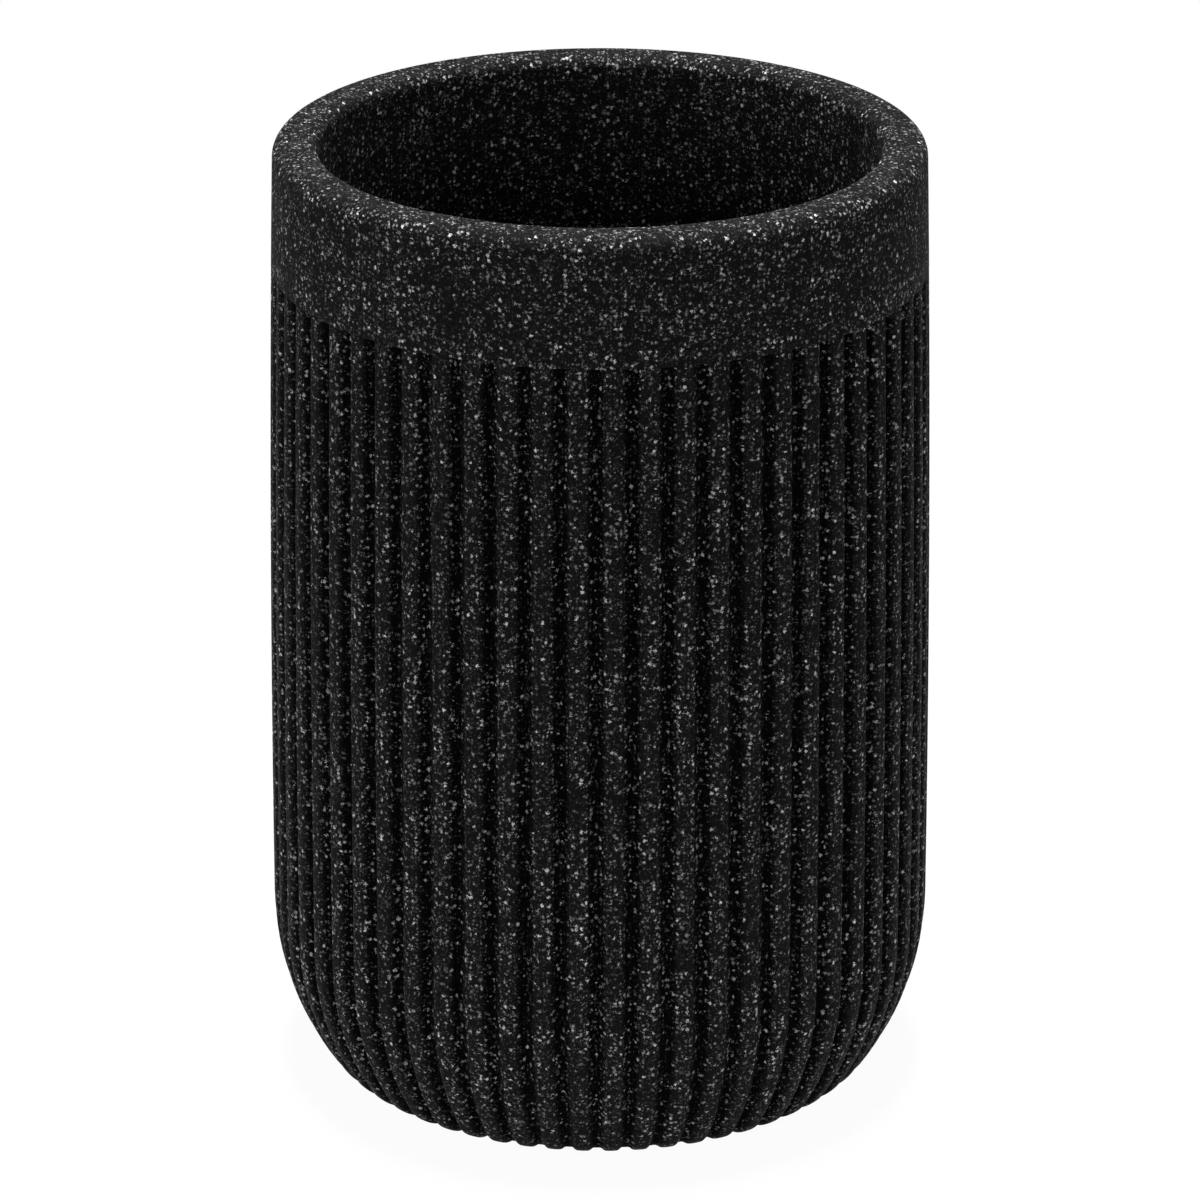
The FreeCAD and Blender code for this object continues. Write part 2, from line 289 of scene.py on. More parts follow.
def grain_group():
    """Fine uneven skin of a moulded face: a height and a slow mottle."""
    tree, given, made = new_group(
        "Cast skin",
        "ShaderNodeTree",
        (
            ("Vector", "NodeSocketVector", None),
            ("Grain", "NodeSocketFloat", 0.0003),
            ("Mottle", "NodeSocketFloat", 0.006),
        ),
        (("Height", "NodeSocketFloat"), ("Mottle", "NodeSocketFloat")),
    )
    fine = add_node(tree, "ShaderNodeTexNoise")
    feed(tree, fine.inputs["Vector"], given.outputs["Vector"])
    feed(tree, fine.inputs["Scale"], work_out(tree, "DIVIDE", 1.0, given.outputs["Grain"]))
    feed(tree, fine.inputs["Detail"], GRAIN_DETAIL)
    feed(tree, fine.inputs["Roughness"], GRAIN_ROUGHNESS)
    slow = add_node(tree, "ShaderNodeTexNoise")
    feed(tree, slow.inputs["Vector"], given.outputs["Vector"])
    feed(tree, slow.inputs["Scale"], work_out(tree, "DIVIDE", 1.0, given.outputs["Mottle"]))
    feed(tree, slow.inputs["Detail"], MOTTLE_DETAIL)
    feed(tree, made.inputs["Height"], fine.outputs["Fac"])
    feed(tree, made.inputs["Mottle"], slow.outputs["Fac"])
    return tree


def group_named(name, build):
    """The node group of that name, built the first time it is asked for."""
    return bpy.data.node_groups.get(name) or build()


def place_group(tree, group, **values):
    """Places a shader group in a material and sets or links its inputs."""
    node = add_node(tree, "ShaderNodeGroup", node_tree=group)
    for name, value in values.items():
        feed(tree, node.inputs[name.replace("_", " ")], value)
    return node


def new_material(name):
    """A material with its Principled shader and the piece's own coordinates."""
    material = bpy.data.materials.new(name)
    material.use_nodes = True
    tree = material.node_tree
    shader = tree.nodes["Principled BSDF"]
    place = add_node(tree, "ShaderNodeTexCoord").outputs["Object"]
    return material, tree, shader, place


def blend_colour(tree, factor, first, second, blend="MIX"):
    """A Mix node on two colours; returns its output."""
    node = add_node(tree, "ShaderNodeMix", data_type="RGBA", blend_type=blend)
    feed(tree, node.inputs["Factor"], factor)
    feed(tree, node.inputs[FIRST_COLOUR], first)
    feed(tree, node.inputs[SECOND_COLOUR], second)
    return node.outputs[MIXED_COLOUR]


def opaque(rgb, gain=1.0):
    """A colour with full alpha, made lighter or darker by a gain."""
    return (*(channel * gain for channel in rgb), 1.0)


def add_bump(tree, shader, height, strength, distance, invert=False):
    """Roughens a shader's normal by a height field."""
    bump = add_node(tree, "ShaderNodeBump", invert=invert)
    feed(tree, bump.inputs["Strength"], strength)
    feed(tree, bump.inputs["Distance"], distance)
    feed(tree, bump.inputs["Height"], height)
    feed(tree, shader.inputs["Normal"], bump.outputs["Normal"])


class FleckLayer(NamedTuple):
    """One size of mineral chip: its spacing in metres, shape, tones and how much the shade painted
    in the grooves dims it.
    """

    name: str
    spacing: float
    radius_share: float
    presence: float
    tone_floor: float
    tone_reach: float
    painted_shade_loss: float
    seed: float


FLECK_LAYERS = (
    FleckLayer("Dust", 0.00023, 0.64, 0.70, 0.01, 0.07, 0.85, 41.9),
    FleckLayer("Grit", 0.00036, 0.56, 0.54, 0.03, 0.36, 0.70, 17.3),
    FleckLayer("Chips", 0.00052, 0.50, 0.55, 0.12, 0.95, 0.35, 0.0),
)

# Slow mottle of the resin: its size, how it shades the resin and where it thins the chips
RESIN_MOTTLE = 0.003
LEAST_SHADE, SHADE_SPREAD = 0.75, 0.5
PATCH_CONTRAST, PATCH_OFFSET = 3.0, -0.5

# Above 1, bright chips are rarer than dim ones
TONE_POWER = 1.6

# Strength and depth in metres of the relief on the resin
RESIN_BUMP, RESIN_BUMP_DEPTH = 0.35, 0.00004


def resin_material(finish):
    """Charcoal resin filled with pale mineral chips in three sizes, with shade painted into its
    grooves: resin and chips are darker deep in them.
    """
    material, tree, shader, place = new_material("speckled_resin")
    flecks = group_named("Mineral flecks", fleck_group)
    skin = place_group(
        tree, group_named("Cast skin", grain_group), Vector=place, Mottle=RESIN_MOTTLE
    )
    mottle = skin.outputs["Mottle"]
    shade = work_out(tree, "MULTIPLY_ADD", mottle, SHADE_SPREAD, LEAST_SHADE)
    patch = work_out(tree, "MULTIPLY_ADD", mottle, PATCH_CONTRAST, PATCH_OFFSET, clamp=True)
    groove = add_node(tree, "ShaderNodeAttribute", attribute_name=GROOVE).outputs["Fac"]
    below = work_out(tree, "SUBTRACT", groove, finish.groove_lip)
    sunk = work_out(tree, "DIVIDE", below, finish.groove_depth, clamp=True)
    # Painted shade: the resin is darkened deep in a groove, on top of its random mottle
    painted_shade_factor = work_out(tree, "MULTIPLY_ADD", sunk, -finish.painted_groove_shade, 1.0)
    light = work_out(tree, "MULTIPLY", shade, painted_shade_factor)
    face = blend_colour(tree, 1.0, opaque(finish.resin_colour), light, "MULTIPLY")
    cover = None
    for layer in FLECK_LAYERS:
        chips = place_group(
            tree, flecks, Vector=place, Spacing=layer.spacing, Radius_Share=layer.radius_share,
            Presence=layer.presence, Seed=layer.seed,
        )
        chips.label = layer.name
        bright = work_out(tree, "POWER", chips.outputs["Tone"], TONE_POWER)
        tone = work_out(tree, "MULTIPLY_ADD", bright, layer.tone_reach, layer.tone_floor)
        # Painted shade: the chips are dimmed deep in a groove too
        shown = work_out(tree, "MULTIPLY_ADD", sunk, -layer.painted_shade_loss, 1.0)
        strength = work_out(tree, "MULTIPLY", work_out(tree, "MULTIPLY", tone, patch), shown)
        weight = work_out(tree, "MULTIPLY", chips.outputs["Mask"], strength)
        face = blend_colour(tree, weight, face, opaque(finish.fleck_colour))
        cover = weight if cover is None else work_out(tree, "MAXIMUM", cover, weight)
    feed(tree, shader.inputs["Base Color"], face)
    feed(tree, shader.inputs["Specular IOR Level"], finish.gloss)
    sheen_gap = finish.fleck_roughness - finish.resin_roughness
    sheen = work_out(tree, "MULTIPLY_ADD", cover, sheen_gap, finish.resin_roughness)
    dull = work_out(tree, "MULTIPLY", sunk, finish.groove_roughness - finish.resin_roughness)
    feed(tree, shader.inputs["Roughness"], work_out(tree, "ADD", sheen, dull))
    relief = work_out(tree, "ADD", skin.outputs["Height"], cover)
    add_bump(tree, shader, relief, RESIN_BUMP, RESIN_BUMP_DEPTH)
    return material


# Pores of the foam, as inputs of the fleck group
FOAM_PORES = {
    "Spacing": 0.00045,
    "Radius_Share": 0.45,
    "Presence": 0.8,
    "Edge": 0.6,
    "Seed": 5.0,
}

# Grain in metres, how much lighter the mottle is, roughness and relief of the foam
FOAM_GRAIN = 0.0002
FOAM_MOTTLE_GAIN = 1.8
FOAM_ROUGHNESS, PORE_ROUGHNESS = 0.85, 0.1
FOAM_BUMP, FOAM_BUMP_DEPTH = 0.6, 0.00008


def foam_material(finish):
    """Closed-cell foam: dark, dull and finely pitted."""
    material, tree, shader, place = new_material("pad_foam")
    flecks = group_named("Mineral flecks", fleck_group)
    pores = place_group(tree, flecks, Vector=place, **FOAM_PORES).outputs["Mask"]
    skin = place_group(tree, group_named("Cast skin", grain_group), Vector=place, Grain=FOAM_GRAIN)
    dark, pale = opaque(finish.foam_colour), opaque(finish.foam_colour, FOAM_MOTTLE_GAIN)
    face = blend_colour(tree, skin.outputs["Mottle"], dark, pale)
    roughness = work_out(tree, "MULTIPLY_ADD", pores, PORE_ROUGHNESS, FOAM_ROUGHNESS)
    feed(tree, shader.inputs["Base Color"], face)
    feed(tree, shader.inputs["Roughness"], roughness)
    add_bump(tree, shader, pores, FOAM_BUMP, FOAM_BUMP_DEPTH, invert=True)
    return material


# Grain and mottle in metres, how much darker the mottle is, and roughness of the film
FILM_GRAIN, FILM_MOTTLE = 0.0006, 0.004
FILM_MOTTLE_GAIN = 0.8
FILM_ROUGHNESS, FILM_ROUGHNESS_SPREAD = 0.25, 0.2


def film_material(finish):
    """Milky adhesive film."""
    material, tree, shader, place = new_material("adhesive_film")
    skin = place_group(
        tree, group_named("Cast skin", grain_group), Vector=place, Grain=FILM_GRAIN,
        Mottle=FILM_MOTTLE,
    )
    pale, dark = opaque(finish.film_colour), opaque(finish.film_colour, FILM_MOTTLE_GAIN)
    face = blend_colour(tree, skin.outputs["Mottle"], pale, dark)
    roughness = work_out(
        tree, "MULTIPLY_ADD", skin.outputs["Height"], FILM_ROUGHNESS_SPREAD, FILM_ROUGHNESS
    )
    feed(tree, shader.inputs["Base Color"], face)
    feed(tree, shader.inputs["Roughness"], roughness)
    return material


# Cup and pad

# Limit on a groove that leaves it as deep as its flanks make it
UNLIMITED = 1.0

# Mesh steps along each stretch of the section
RECESS_EDGE_STEPS, FOOT_EDGE_STEPS = 4, 3
TOE_STEPS, SIDE_STEPS, WALL_STEPS, BAND_STEPS = 12, 12, 9, 4
OUTER_LIP_STEPS, RIM_STEPS, INNER_LIP_STEPS = 7, 2, 6
INSIDE_STEPS, FLOOR_ROUND_STEPS, FLOOR_STEPS = 4, 7, 3
PAD_EDGE_STEPS = 4

# Columns of the pad's mesh: sectors round it, and steps in each
PAD_SECTORS, PAD_SECTOR_STEPS = 24, 6


class Ring(NamedTuple):
    """One ring of a turned skin: its place, the way it faces and the limits of its grooves."""

    radius: float
    height: float
    facing: float = 0.0
    shallower: float = 0.0
    deepest: float = 0.0


def arc_rings(centre, radius, start, end, steps):
    """Rings along an arc of the section, from one facing angle to another."""
    rings = []
    for step in range(steps + 1):
        angle = start + (end - start) * step / steps
        across = centre[0] + radius * math.cos(angle)
        height = centre[1] + radius * math.sin(angle)
        rings.append(Ring(across, height, angle))
    return rings


def line_rings(start, end, steps):
    """Rings along a straight stretch of the section, without its first end."""
    facing = math.atan2(start[0] - end[0], end[1] - start[1])
    return [
        Ring(
            start[0] + (end[0] - start[0]) * step / steps,
            start[1] + (end[1] - start[1]) * step / steps,
            facing,
        )
        for step in range(1, steps + 1)
    ]


def deepening(rings, first, last):
    """The same rings with a limit on their grooves that grows evenly along them."""
    return [
        ring._replace(deepest=first + (last - first) * step / (len(rings) - 1))
        for step, ring in enumerate(rings)
    ]


def side_arc(wall_foot, toe_centre, toe_radius):
    """Centre and radius of the arc that leaves the wall upright and meets the toe."""
    across = wall_foot[0] - toe_centre[0]
    down = wall_foot[1] - toe_centre[1]
    radius = (across**2 + down**2 - toe_radius**2) / (2 * (across - toe_radius))
    return (wall_foot[0] - radius, wall_foot[1]), radius


def wall_radius(shape, height):
    """Radius of the outside at a height: the wall leans in and swells a little."""
    way = (height - shape.wall_foot) / (CUP_HIGH.z - shape.wall_foot)
    return CREST_RADIUS - shape.wall_lean * way + 4 * shape.wall_swell * way * (1 - way)


def wall_rings(shape, low, high, steps, deepest=0.0):
    """Rings up the outside wall, without the lowest one."""
    rings = []
    for step in range(1, steps + 1):
        height = low + (high - low) * step / steps
        rings.append(Ring(wall_radius(shape, height), height, deepest=deepest))
    return rings


def foot_rings(shape):
    """Recess for the pad and the flat foot round it, from the axis outwards."""
    recess = PAD_RADIUS + shape.pad_clearance
    soft = shape.edge_round
    ceiling, foot = FILM_HIGH.z, CUP_LOW.z
    inner, outer = recess + soft, shape.foot_radius - soft
    down = -QUARTER_TURN
    rings = [Ring(0.0, ceiling), Ring(recess / 2, ceiling), Ring(recess, ceiling)]
    rings += arc_rings((inner, foot + soft), soft, math.pi, math.pi - down, RECESS_EDGE_STEPS)
    rings += arc_rings((outer, foot + soft), soft, down, down / 3, FOOT_EDGE_STEPS)
    return rings


def reeded_rings(shape):
    """Reeds from the foot round the toe and the side arc and up the leaning wall."""
    toe = (shape.toe_centre, CUP_LOW.z + shape.toe_radius)
    wall_foot = (CREST_RADIUS, shape.wall_foot)
    top = CUP_HIGH.z - shape.band_height
    centre, radius = side_arc(wall_foot, toe, shape.toe_radius)
    meet = math.atan2(toe[1] - centre[1], toe[0] - centre[0])
    start = -math.acos((shape.foot_radius - toe[0]) / shape.toe_radius)
    soft = shape.ceiling_round
    toe_rings = arc_rings(toe, shape.toe_radius, start, meet, TOE_STEPS)
    side_rings = arc_rings(centre, radius, meet, 0.0, SIDE_STEPS)
    rings = deepening(toe_rings, shape.foot_groove, shape.toe_groove)
    rings += deepening(side_rings, shape.toe_groove, shape.side_groove)[1:]
    rings += wall_rings(shape, shape.wall_foot, top - soft, WALL_STEPS, UNLIMITED)
    for turn in (math.pi / 6, math.pi / 3, math.pi / 2):
        height = top + soft * (math.sin(turn) - 1)
        shallower = soft * (1 - math.cos(turn))
        rings.append(Ring(wall_radius(shape, height), height, 0.0, shallower, UNLIMITED))
    return rings


def band_rings(shape):
    """Plain band over the reeds, the rounded rim, the inside wall and the floor."""
    foot, rim = CUP_HIGH.z - shape.band_height, CUP_HIGH.z
    outer, inner = shape.lip_outer_round, shape.lip_inner_round
    outside = wall_radius(shape, rim - outer)
    mouth = outside - shape.rim_wall
    floor = CUP_LOW.z + shape.floor_thickness
    corner = shape.floor_round
    soft = shape.ceiling_round
    outer_lip = (outside - outer, rim - outer)
    inner_lip = (mouth + inner, rim - inner)
    floor_corner = (mouth - corner, floor + corner)
    rings = []
    for turn in (QUARTER_TURN, QUARTER_TURN / 2, 0.0):
        height = foot + soft * (1 - math.sin(turn))
        deepest = soft * (1 - math.cos(turn))
        rings.append(Ring(wall_radius(shape, height), height, deepest=deepest))
    rings += wall_rings(shape, foot + soft, rim - outer, BAND_STEPS)
    rings += arc_rings(outer_lip, outer, 0.0, QUARTER_TURN, OUTER_LIP_STEPS)[1:]
    rings += line_rings((outside - outer, rim), (mouth + inner, rim), RIM_STEPS)
    rings += arc_rings(inner_lip, inner, QUARTER_TURN, math.pi, INNER_LIP_STEPS)[1:]
    rings += line_rings((mouth, rim - inner), (mouth, floor + corner), INSIDE_STEPS)
    rings += arc_rings(floor_corner, corner, 0.0, -QUARTER_TURN, FLOOR_ROUND_STEPS)[1:]
    rings += line_rings((mouth - corner, floor), (0.0, floor), FLOOR_STEPS)
    return rings


def section_object(name, rings):
    """A piece's section as a chain of points that carry their facing and groove limits."""
    mesh = bpy.data.meshes.new(name + "_section")
    points = [(ring.radius, 0.0, ring.height) for ring in rings]
    mesh.from_pydata(points, [(i, i + 1) for i in range(len(points) - 1)], [])
    facing = []
    for ring in rings:
        facing += (math.cos(ring.facing), 0.0, math.sin(ring.facing))
    mesh.attributes.new("facing", "FLOAT_VECTOR", "POINT").data.foreach_set("vector", facing)
    for limit in ("shallower", "deepest"):
        values = [getattr(ring, limit) for ring in rings]
        mesh.attributes.new(limit, "FLOAT", "POINT").data.foreach_set("value", values)
    obj = bpy.data.objects.new(name, mesh)
    bpy.context.collection.objects.link(obj)
    return obj


def sampled(tree, geometry, index, kind, field):
    """The value that a field has at one point of the section."""
    node = add_node(tree, "GeometryNodeSampleIndex", data_type=kind, domain="POINT")
    feed(tree, node.inputs["Geometry"], geometry)
    feed(tree, node.inputs["Value"], field)
    feed(tree, node.inputs["Index"], index)
    return node.outputs["Value"]


def named(tree, name, kind):
    """A named attribute of the section as a field."""
    node = add_node(tree, "GeometryNodeInputNamedAttribute", data_type=kind)
    node.inputs["Name"].default_value = name
    return node.outputs["Attribute"]


def reeded_spin_group():
    """Turns a section round Z and presses grooves between its reeds as its points allow."""
    tree, given, made = new_group(
        "Reeded spin",
        "GeometryNodeTree",
        (
            ("Section", "NodeSocketGeometry", None),
            ("Reeds", "NodeSocketInt", 60),
            ("Steps", "NodeSocketInt", 14),
            ("Crest Width", "NodeSocketFloat", 0.0015),
            ("Shoulder Round", "NodeSocketFloat", 0.0001),
            ("Flank Slope", "NodeSocketFloat", 1.0),
            ("Valley Round", "NodeSocketFloat", 0.0001),
            ("Weld", "NodeSocketFloat", 0.000001),
            ("Finish", "NodeSocketMaterial", None),
        ),
        (("Skin", "NodeSocketGeometry"),),
    )
    section, reeds, steps = (given.outputs[name] for name in ("Section", "Reeds", "Steps"))
    size = add_node(tree, "GeometryNodeAttributeDomainSize", component="MESH")
    feed(tree, size.inputs["Geometry"], section)
    rings = size.outputs["Point Count"]
    columns = work_out(tree, "MULTIPLY", reeds, steps)
    grid = add_node(tree, "GeometryNodeMeshGrid")
    feed(tree, grid.inputs["Vertices X"], work_out(tree, "ADD", columns, 1.0))
    feed(tree, grid.inputs["Vertices Y"], rings)
    index = add_node(tree, "GeometryNodeInputIndex").outputs[0]
    ring = work_out(tree, "FLOORED_MODULO", index, rings)
    column = work_out(tree, "FLOOR", work_out(tree, "DIVIDE", index, rings))
    step_angle = work_out(tree, "DIVIDE", math.tau, columns)
    position = add_node(tree, "GeometryNodeInputPosition").outputs[0]
    point = sampled(tree, section, ring, "FLOAT_VECTOR", position)
    facing = sampled(tree, section, ring, "FLOAT_VECTOR", named(tree, "facing", "FLOAT_VECTOR"))
    shallower = sampled(tree, section, ring, "FLOAT", named(tree, "shallower", "FLOAT"))
    deepest = sampled(tree, section, ring, "FLOAT", named(tree, "deepest", "FLOAT"))
    axes = add_node(tree, "ShaderNodeSeparateXYZ")
    feed(tree, axes.inputs[0], point)
    step_width = work_out(tree, "MULTIPLY", step_angle, axes.outputs["X"])

    # Depth across one reed: flat crest, soft shoulder, straight flank, soft valley
    half_steps = work_out(tree, "MULTIPLY", steps, 0.5)
    half_back = work_out(tree, "MULTIPLY", steps, -0.5)
    in_reed = work_out(tree, "WRAP", column, half_steps, half_back)
    across = work_out(tree, "MULTIPLY", work_out(tree, "ABSOLUTE", in_reed), step_width)
    half = work_out(tree, "MULTIPLY", half_steps, step_width)
    to_valley = work_out(tree, "SUBTRACT", half, across)
    valley = given.outputs["Valley Round"]
    squares = work_out(
        tree, "ADD", work_out(tree, "POWER", to_valley, 2.0), work_out(tree, "POWER", valley, 2.0)
    )
    from_crest = work_out(tree, "SUBTRACT", half, work_out(tree, "SQRT", squares))
    half_crest = work_out(tree, "MULTIPLY", given.outputs["Crest Width"], 0.5)
    past_crest = work_out(tree, "SUBTRACT", from_crest, half_crest)
    bend = work_out(
        tree, "SQRT",
        work_out(
            tree, "ADD", work_out(tree, "POWER", past_crest, 2.0),
            work_out(tree, "POWER", given.outputs["Shoulder Round"], 2.0),
        ),
    )
    down_flank = work_out(tree, "MULTIPLY", work_out(tree, "ADD", past_crest, bend), 0.5)
    depth = work_out(tree, "MULTIPLY", down_flank, given.outputs["Flank Slope"])
    eased = work_out(tree, "MAXIMUM", work_out(tree, "SUBTRACT", depth, shallower), 0.0)
    cut = work_out(tree, "MINIMUM", eased, deepest)
    inward = add_node(tree, "ShaderNodeVectorMath", operation="SCALE")
    feed(tree, inward.inputs[0], facing)
    feed(tree, inward.inputs["Scale"], work_out(tree, "MULTIPLY", cut, -1.0))
    pressed = add_node(tree, "ShaderNodeVectorMath", operation="ADD")
    feed(tree, pressed.inputs[0], point)
    feed(tree, pressed.inputs[1], inward.outputs[0])
    turned = add_node(tree, "ShaderNodeVectorRotate", rotation_type="Z_AXIS")
    feed(tree, turned.inputs["Vector"], pressed.outputs[0])
    feed(tree, turned.inputs["Angle"], work_out(tree, "MULTIPLY", column, step_angle))

    # Skin of the piece, with the depth kept for the resin's painted groove shade and duller sheen
    marked = add_node(tree, "GeometryNodeStoreNamedAttribute", data_type="FLOAT", domain="POINT")
    feed(tree, marked.inputs["Geometry"], grid.outputs["Mesh"])
    feed(tree, marked.inputs["Name"], GROOVE)
    feed(tree, marked.inputs["Value"], cut)
    placed = add_node(tree, "GeometryNodeSetPosition")
    feed(tree, placed.inputs["Geometry"], marked.outputs[0])
    feed(tree, placed.inputs["Position"], turned.outputs[0])
    welded = add_node(tree, "GeometryNodeMergeByDistance")
    feed(tree, welded.inputs["Geometry"], placed.outputs[0])
    feed(tree, welded.inputs["Distance"], given.outputs["Weld"])
    smooth = add_node(tree, "GeometryNodeSetShadeSmooth")
    feed(tree, smooth.inputs[0], welded.outputs[0])
    whole = add_node(tree, "GeometryNodeRealizeInstances")
    feed(tree, whole.inputs[0], smooth.outputs[0])
    finished = add_node(tree, "GeometryNodeSetMaterial")
    feed(tree, finished.inputs["Geometry"], whole.outputs[0])
    feed(tree, finished.inputs["Material"], given.outputs["Finish"])
    feed(tree, made.inputs["Skin"], finished.outputs[0])
    return tree


def run_group(obj, group, **values):
    """Runs a geometry group on an object and keeps the result as its plain mesh."""
    modifier = obj.modifiers.new(group.name, "NODES")
    modifier.node_group = group
    for item in group.interface.items_tree:
        key = item.name.replace(" ", "_")
        if item.in_out == "INPUT" and key in values:
            modifier[item.identifier] = values[key]
    depsgraph = bpy.context.evaluated_depsgraph_get()
    mesh = bpy.data.meshes.new_from_object(obj.evaluated_get(depsgraph))
    obj.modifiers.clear()
    obj.data = mesh
    mesh.name = obj.name
    if not mesh.polygons:
        raise RuntimeError(group.name + " made no faces for " + obj.name)
    return obj


class TUMBLER_OT_cup(bpy.types.Operator):
    """Builds the reeded cup in speckled resin over its solid"""

    bl_idname = "tumbler.cup"
    bl_label = "Cup"

    def execute(self, context):
        shape = context.scene.tumbler_shape
        cup = section_object("cup", foot_rings(shape) + reeded_rings(shape) + band_rings(shape))
        run_group(
            cup,
            group_named("Reeded spin", reeded_spin_group),
            Reeds=shape.reed_count,
            Steps=shape.reed_steps,
            Crest_Width=shape.crest_width,
            Shoulder_Round=shape.shoulder_round,
            Flank_Slope=shape.flank_slope,
            Valley_Round=shape.valley_round,
            Finish=resin_material(context.scene.tumbler_finish),
        )
        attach(cup, "root")
        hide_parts("cup_body")
        return {"FINISHED"}


class TUMBLER_OT_base_pad(bpy.types.Operator):
    """Builds the die-cut foam pad under the cup over its solid"""

    bl_idname = "tumbler.base_pad"
    bl_label = "Base pad"

    def execute(self, context):
        shape = context.scene.tumbler_shape
        soft = shape.pad_edge_round
        low, high = PAD_LOW.z, PAD_HIGH.z
        edge = PAD_RADIUS - soft
        rings = [Ring(0.0, low), Ring(edge / 2, low)]
        rings += arc_rings((edge, low + soft), soft, -QUARTER_TURN, 0.0, PAD_EDGE_STEPS)
        rings += arc_rings((edge, high - soft), soft, 0.0, QUARTER_TURN, PAD_EDGE_STEPS)
        rings += [Ring(edge / 2, high), Ring(0.0, high)]
        pad = section_object("foam_pad", rings)
        run_group(
            pad,
            group_named("Reeded spin", reeded_spin_group),
            Reeds=PAD_SECTORS,
            Steps=PAD_SECTOR_STEPS,
            Finish=foam_material(context.scene.tumbler_finish),
        )
        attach(pad, "root")
        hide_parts("base_pad")
        return {"FINISHED"}


class TUMBLER_OT_adhesive_film(bpy.types.Operator):
    """Finishes the adhesive film between the pad and the cup"""

    bl_idname = "tumbler.adhesive_film"
    bl_label = "Adhesive film"

    def execute(self, context):
        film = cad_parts["pad_adhesive_film"]
        finish = film_material(context.scene.tumbler_finish)
        for slot in film.material_slots:
            slot.material = finish
        return {"FINISHED"}


# Stage

WHITE = (1.0, 1.0, 1.0, 1.0)

# Width of the camera's sensor in millimetres
SENSOR_WIDTH = 36.0

# Half the side of the floor, and the gap that keeps it off the pad's face
FLOOR_REACH = 0.24
FLOOR_GAP = 0.05 * MILLIMETRE


class Softbox(NamedTuple):
    """A square lamp that looks at the middle of the cup; its power is in the stage's settings."""

    name: str
    place: tuple
    size: float


SOFTBOXES = (
    Softbox("front", (-0.37, -1.01, 0.2), 0.5),
    Softbox("left", (-1.06, -0.19, 0.2), 0.5),
    Softbox("right", (1.01, -0.37, 0.2), 0.5),
    Softbox("top", (0.0, 0.05, 1.25), 0.25),
)


def seen_white(tree, in_mirror):
    """How white the surroundings are to a ray: all to the camera, a share in a reflection."""
    rays = add_node(tree, "ShaderNodeLightPath").outputs
    mirrored = work_out(tree, "MAXIMUM", rays["Is Glossy Ray"], rays["Is Transmission Ray"])
    dimmed = work_out(tree, "MULTIPLY", mirrored, in_mirror)
    return work_out(tree, "MAXIMUM", rays["Is Camera Ray"], dimmed)


def add_floor(stage):
    """A pale floor that shows white to the camera, keeps a faint shadow and is clear from below."""
    level = PAD_LOW.z - FLOOR_GAP
    corners = ((-1, -1), (1, -1), (1, 1), (-1, 1))
    points = [(x * FLOOR_REACH, y * FLOOR_REACH, level) for x, y in corners]
    mesh = bpy.data.meshes.new("floor")
    mesh.from_pydata(points, [], [(0, 1, 2, 3)])
    material = bpy.data.materials.new("pale_floor")
    material.use_nodes = True
    tree = material.node_tree
    tree.nodes.clear()
    paint = add_node(tree, "ShaderNodeBsdfDiffuse")
    glow = add_node(tree, "ShaderNodeEmission")
    mix = add_node(tree, "ShaderNodeMixShader")
    output = add_node(tree, "ShaderNodeOutputMaterial")
    seen = seen_white(tree, stage.mirrored_floor)
    face = blend_colour(tree, seen, opaque(stage.floor_bounce), opaque(stage.floor_colour))
    feed(tree, paint.inputs["Color"], face)
    feed(tree, mix.inputs[0], work_out(tree, "MULTIPLY", seen, stage.floor_glow))
    feed(tree, mix.inputs[1], paint.outputs[0])
    feed(tree, mix.inputs[2], glow.outputs[0])
    one_sided = add_node(tree, "ShaderNodeMixShader")
    feed(tree, one_sided.inputs[0], add_node(tree, "ShaderNodeNewGeometry").outputs["Backfacing"])
    feed(tree, one_sided.inputs[1], mix.outputs[0])
    feed(tree, one_sided.inputs[2], add_node(tree, "ShaderNodeBsdfTransparent").outputs[0])
    feed(tree, output.inputs["Surface"], one_sided.outputs[0])
    mesh.materials.append(material)
    floor = bpy.data.objects.new("floor", mesh)
    bpy.context.collection.objects.link(floor)


def add_world(stage):
    """White to the camera, partly white in reflections, and a faint ambient light."""
    world = bpy.data.worlds.new("studio")
    world.use_nodes = True
    bpy.context.scene.world = world
    tree = world.node_tree
    back = tree.nodes["Background"]
    back.inputs["Color"].default_value = WHITE
    seen = seen_white(tree, stage.mirrored_walls)
    strength = work_out(tree, "MULTIPLY_ADD", seen, 1.0 - stage.ambient, stage.ambient)
    feed(tree, back.inputs["Strength"], strength)


def add_softbox(softbox, target, watts):
    """An area lamp that lights the cup and isn't seen itself."""
    light = bpy.data.lights.new(softbox.name, "AREA")
    light.shape = "SQUARE"
    light.size = softbox.size
    light.energy = watts
    obj = bpy.data.objects.new(softbox.name, light)
    obj.location = softbox.place
    obj.rotation_euler = (target - Vector(softbox.place)).to_track_quat("-Z", "Y").to_euler()
    obj.visible_camera = False
    bpy.context.collection.objects.link(obj)


def add_camera(stage, middle):
    """The photograph's camera: its distance, height and framing."""
    camera = bpy.data.cameras.new("photo_camera")
    camera.sensor_width = SENSOR_WIDTH
    camera.lens = stage.lens
    obj = bpy.data.objects.new("photo_camera", camera)
    level = math.cos(stage.camera_elevation)
    back = Vector(
        (
            math.sin(stage.camera_turn) * level,
            -math.cos(stage.camera_turn) * level,
            math.sin(stage.camera_elevation),
        )
    )
    obj.location = middle + back * stage.camera_distance
    obj.rotation_euler = (-back).to_track_quat("-Z", "Y").to_euler()
    bpy.context.collection.objects.link(obj)
    bpy.context.scene.camera = obj


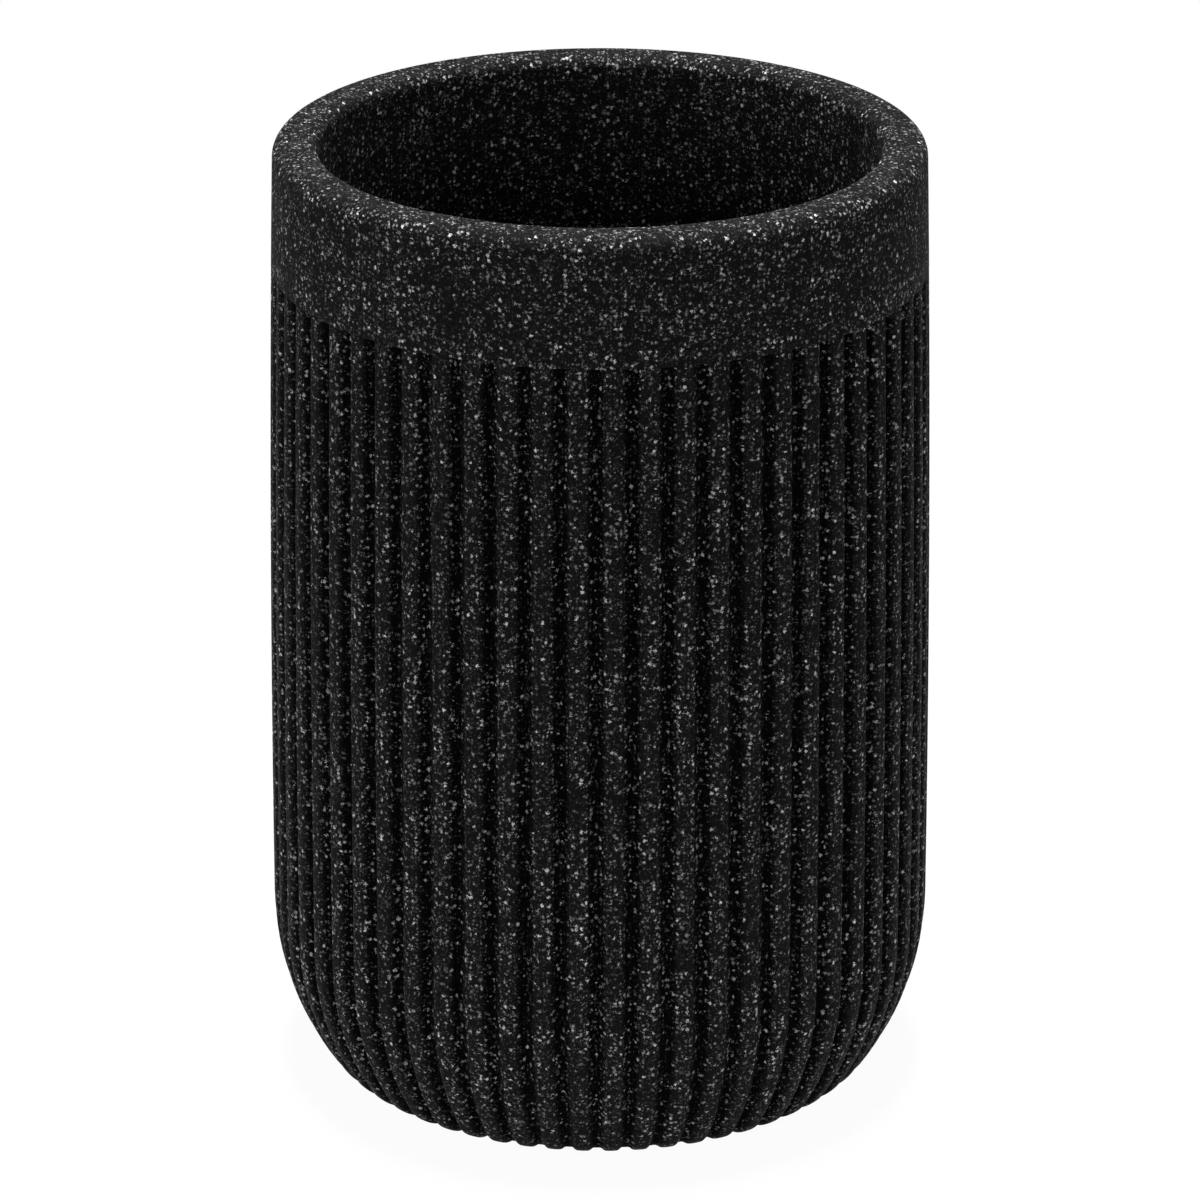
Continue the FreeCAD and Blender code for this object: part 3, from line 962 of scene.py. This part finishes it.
class TUMBLER_OT_stage(bpy.types.Operator):
    """Sets the pale floor, the studio light and the camera"""

    bl_idname = "tumbler.stage"
    bl_label = "Stage"

    def execute(self, context):
        stage = context.scene.tumbler_stage
        middle = Vector((0.0, 0.0, (CUP_LOW.z + CUP_HIGH.z) / 2))
        add_floor(stage)
        add_world(stage)
        for softbox in SOFTBOXES:
            add_softbox(softbox, middle, getattr(stage, softbox.name + "_power"))
        add_camera(stage, middle)
        context.scene.view_settings.view_transform = "Standard"
        return {"FINISHED"}


class TUMBLER_PT_sidebar(bpy.types.Panel):
    """Lists the tumbler's pieces, sizes and finishes"""

    bl_label = "Tumbler"
    bl_idname = "TUMBLER_PT_sidebar"
    bl_space_type = "VIEW_3D"
    bl_region_type = "UI"
    bl_category = "Tumbler"

    def draw(self, context):
        for operator in OPERATORS:
            self.layout.operator(operator.bl_idname)
        for settings in (
            context.scene.tumbler_shape,
            context.scene.tumbler_finish,
            context.scene.tumbler_stage,
        ):
            box = self.layout.box()
            for name in settings.bl_rna.properties.keys():
                if name not in ("rna_type", "name"):
                    box.prop(settings, name)


OPERATORS = (
    TUMBLER_OT_cup,
    TUMBLER_OT_base_pad,
    TUMBLER_OT_adhesive_film,
    TUMBLER_OT_stage,
)
CLASSES = (TumblerShape, ResinFinish, StudioStage, *OPERATORS, TUMBLER_PT_sidebar)


def register():
    for cls in CLASSES:
        bpy.utils.register_class(cls)
    bpy.types.Scene.tumbler_shape = PointerProperty(type=TumblerShape)
    bpy.types.Scene.tumbler_finish = PointerProperty(type=ResinFinish)
    bpy.types.Scene.tumbler_stage = PointerProperty(type=StudioStage)


def unregister():
    del bpy.types.Scene.tumbler_stage
    del bpy.types.Scene.tumbler_finish
    del bpy.types.Scene.tumbler_shape
    for cls in reversed(CLASSES):
        bpy.utils.unregister_class(cls)


def main():
    """Builds the pieces and the stage."""
    register()
    bpy.ops.tumbler.cup()
    bpy.ops.tumbler.base_pad()
    bpy.ops.tumbler.adhesive_film()
    bpy.ops.tumbler.stage()


if __name__ == "__main__":
    main()
